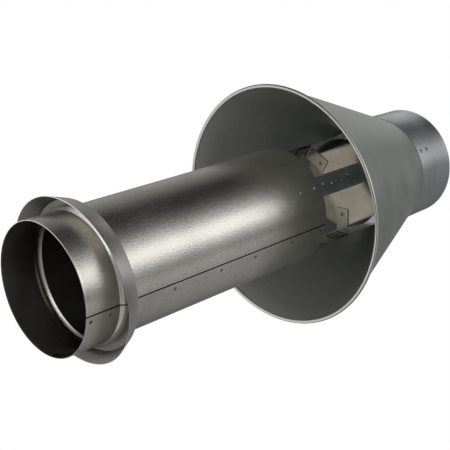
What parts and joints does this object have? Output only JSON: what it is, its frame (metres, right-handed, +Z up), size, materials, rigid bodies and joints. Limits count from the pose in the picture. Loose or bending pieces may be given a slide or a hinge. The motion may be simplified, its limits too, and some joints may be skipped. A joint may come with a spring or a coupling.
{
  "type": "flue terminal cap",
  "caption": "Stainless flue terminal: a long inlet tube with a flared seat ring, a baffle disc on legs and brackets, and a conical skirt that narrows to a round outlet collar.",
  "frame": {"origin": "centre of the open mouth, on the plane of the inlet tube's lower edge", "axes": "+Z up the flue's axis to the outlet collar, -Y towards the first leg"},
  "size_m": [0.3186, 0.3184, 0.6598],
  "materials": {
    "polished_stainless": "polished rolled stainless sheet",
    "satin_stainless": "satin stainless sheet",
    "matt_stainless": "matt stainless sheet, brushed round the axis",
    "leg_stainless": "bright stainless strap",
    "rivet_steel": "blind rivets in plain steel"
  },
  "bodies": {
    "root": {"inlet_tube": "polished_stainless", "seat_ring": "satin_stainless", "skirt_cone": "matt_stainless", "outlet_collar": "matt_stainless", "baffle_disc": "polished_stainless", "leg_1": "leg_stainless", "bracket_1": "leg_stainless", "leg_2": "leg_stainless", "bracket_2": "leg_stainless", "leg_3": "leg_stainless", "bracket_3": "leg_stainless", "tube_rivet_1": "rivet_steel", "tube_rivet_2": "rivet_steel", "tube_rivet_3": "rivet_steel", "tube_rivet_4": "rivet_steel", "tube_rivet_5": "rivet_steel", "tube_rivet_6": "rivet_steel", "neck_rivet_1": "rivet_steel", "neck_rivet_2": "rivet_steel", "neck_rivet_3": "rivet_steel", "neck_rivet_4": "rivet_steel", "neck_rivet_5": "rivet_steel", "neck_rivet_6": "rivet_steel", "flange_rivet_1": "rivet_steel", "flange_rivet_2": "rivet_steel", "flange_rivet_3": "rivet_steel", "disc_rivet_1": "rivet_steel", "disc_rivet_2": "rivet_steel", "disc_rivet_3": "rivet_steel"}
  },
  "joints": []
}
